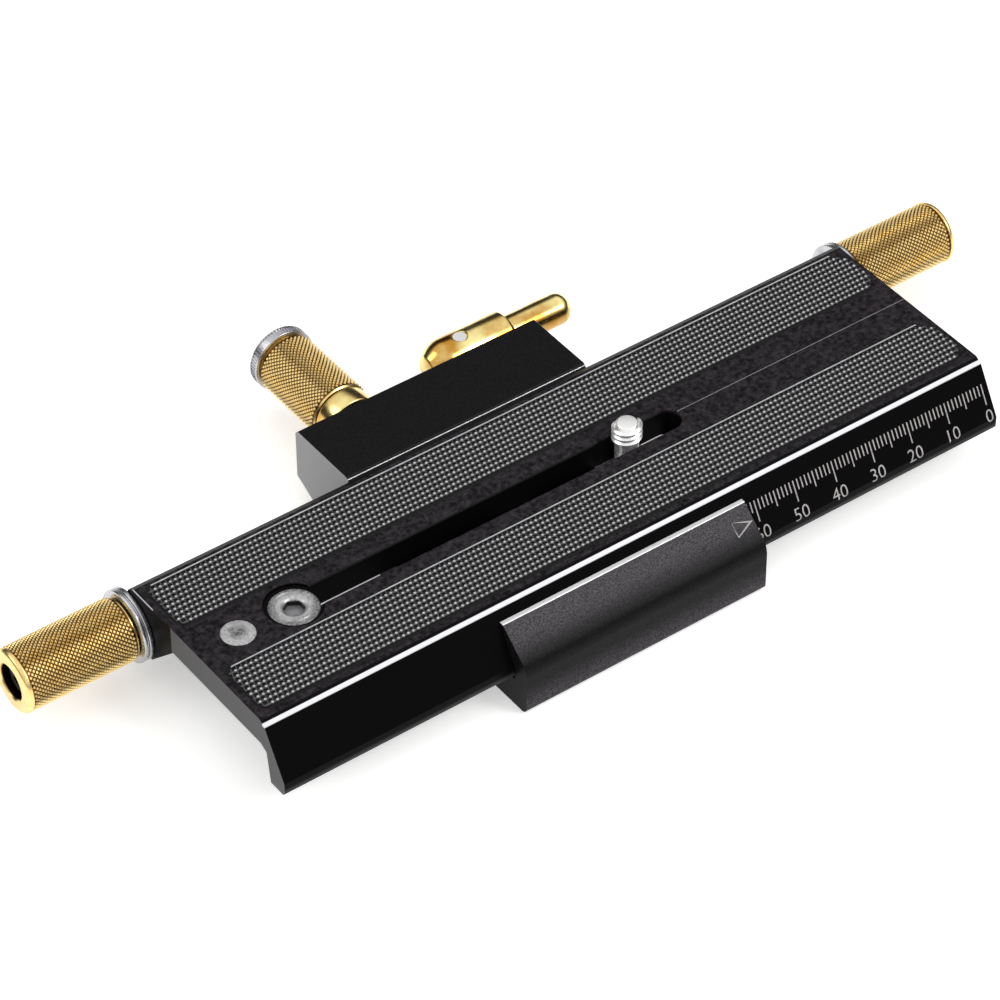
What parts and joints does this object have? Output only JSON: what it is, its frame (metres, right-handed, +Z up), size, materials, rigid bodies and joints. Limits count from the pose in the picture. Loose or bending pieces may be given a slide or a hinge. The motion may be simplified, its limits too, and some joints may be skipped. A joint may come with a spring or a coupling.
{
  "type": "macro focusing rail",
  "caption": "Dovetail macro focusing rail on a carriage with brass drive knobs, lock knob and quick release lever.",
  "frame": {"origin": "centre of the 3/8 inch tripod thread on the carriage's underside", "axes": "+X along the rail towards the end where its scale starts, -Y the side with the scale, +Z up out of the rail's top"},
  "size_m": [0.2346, 0.1073, 0.0263],
  "materials": {
    "black_anodised": "satin black anodised aluminium",
    "black_rubber": "fine dotted grip",
    "knurled_brass": "fine diamond knurl, gold",
    "polished_brass": "polished",
    "bright_steel": "turned, bright",
    "dark_steel": "blackened",
    "spring_steel": "plain wire"
  },
  "bodies": {
    "carriage": {"carriage_body": "black_anodised", "tripod_bush": "bright_steel", "lock_collar": "polished_brass", "rod_guide_bush": "polished_brass", "release_spring": "spring_steel"},
    "rail": {"rail_plate": "black_anodised", "front_grip_strip": "black_rubber", "rear_grip_strip": "black_rubber", "slot_plug_screw": "bright_steel", "locating_plug": "bright_steel", "left_screw_bush": "bright_steel", "right_screw_bush": "bright_steel"},
    "lead_screw": {"lead_screw": "bright_steel", "left_drive_knob": "knurled_brass", "right_drive_knob": "knurled_brass", "knob_screws": "dark_steel"},
    "camera_slider": {"camera_screw_washer": "bright_steel"},
    "camera_screw": {"camera_screw": "bright_steel"},
    "half_nut": {"half_nut": "polished_brass", "pull_rod": "bright_steel", "lever_pin": "bright_steel"},
    "release_lever": {"release_lever": "polished_brass"},
    "lock_knob": {"lock_knob": "knurled_brass", "lock_spindle": "bright_steel", "knob_end_ring": "bright_steel"},
    "brake_shoe": {"brake_shoe": "dark_steel"}
  },
  "joints": [
    {"name": "rail_slide", "type": "slide", "parent": "carriage", "child": "rail", "axis": [1, 0, 0], "range_m": [-0.0641, 0.0539]},
    {"name": "lead_screw_spin", "type": "hinge", "parent": "rail", "child": "lead_screw", "pos_m": [0.00505, 0.02305, 0.012], "axis": [1, 0, 0], "range_deg": [-23078, 19406]},
    {"name": "camera_screw_slide", "type": "slide", "parent": "rail", "child": "camera_slider", "axis": [1, 0, 0], "range_m": [-0.073, 0.0101]},
    {"name": "camera_screw_turn", "type": "hinge", "parent": "camera_slider", "child": "camera_screw", "pos_m": [0.02025, 0, 0.0151], "axis": [0, 0, 1], "continuous": true},
    {"name": "half_nut_slide", "type": "slide", "parent": "carriage", "child": "half_nut", "axis": [0, 1, 0], "range_m": [0, 0.0016], "stiffness_N_per_m": 500, "springref_m": -0.004, "deforming": ["release_spring"]},
    {"name": "release_lever_turn", "type": "hinge", "parent": "half_nut", "child": "release_lever", "pos_m": [0.01515, 0.05072, 0.012], "axis": [0, 0, 1], "range_deg": [0, 20.02]},
    {"name": "lock_knob_turn", "type": "hinge", "parent": "carriage", "child": "lock_knob", "pos_m": [-0.0155, 0.06, 0.012], "axis": [0, -1, 0], "range_deg": [0, 180]},
    {"name": "brake_shoe_slide", "type": "slide", "parent": "carriage", "child": "brake_shoe", "axis": [0, -1, 0], "range_m": [0, 0.00041]}
  ],
  "couplings": [
    {"joint": "lead_screw_spin", "follows": "rail_slide", "rad_per_m": 6283.2},
    {"joint": "release_lever_turn", "follows": "half_nut_slide", "rad_per_m": 218.17},
    {"joint": "brake_shoe_slide", "follows": "lock_knob_turn", "m_per_rad": 0.00012732}
  ]
}
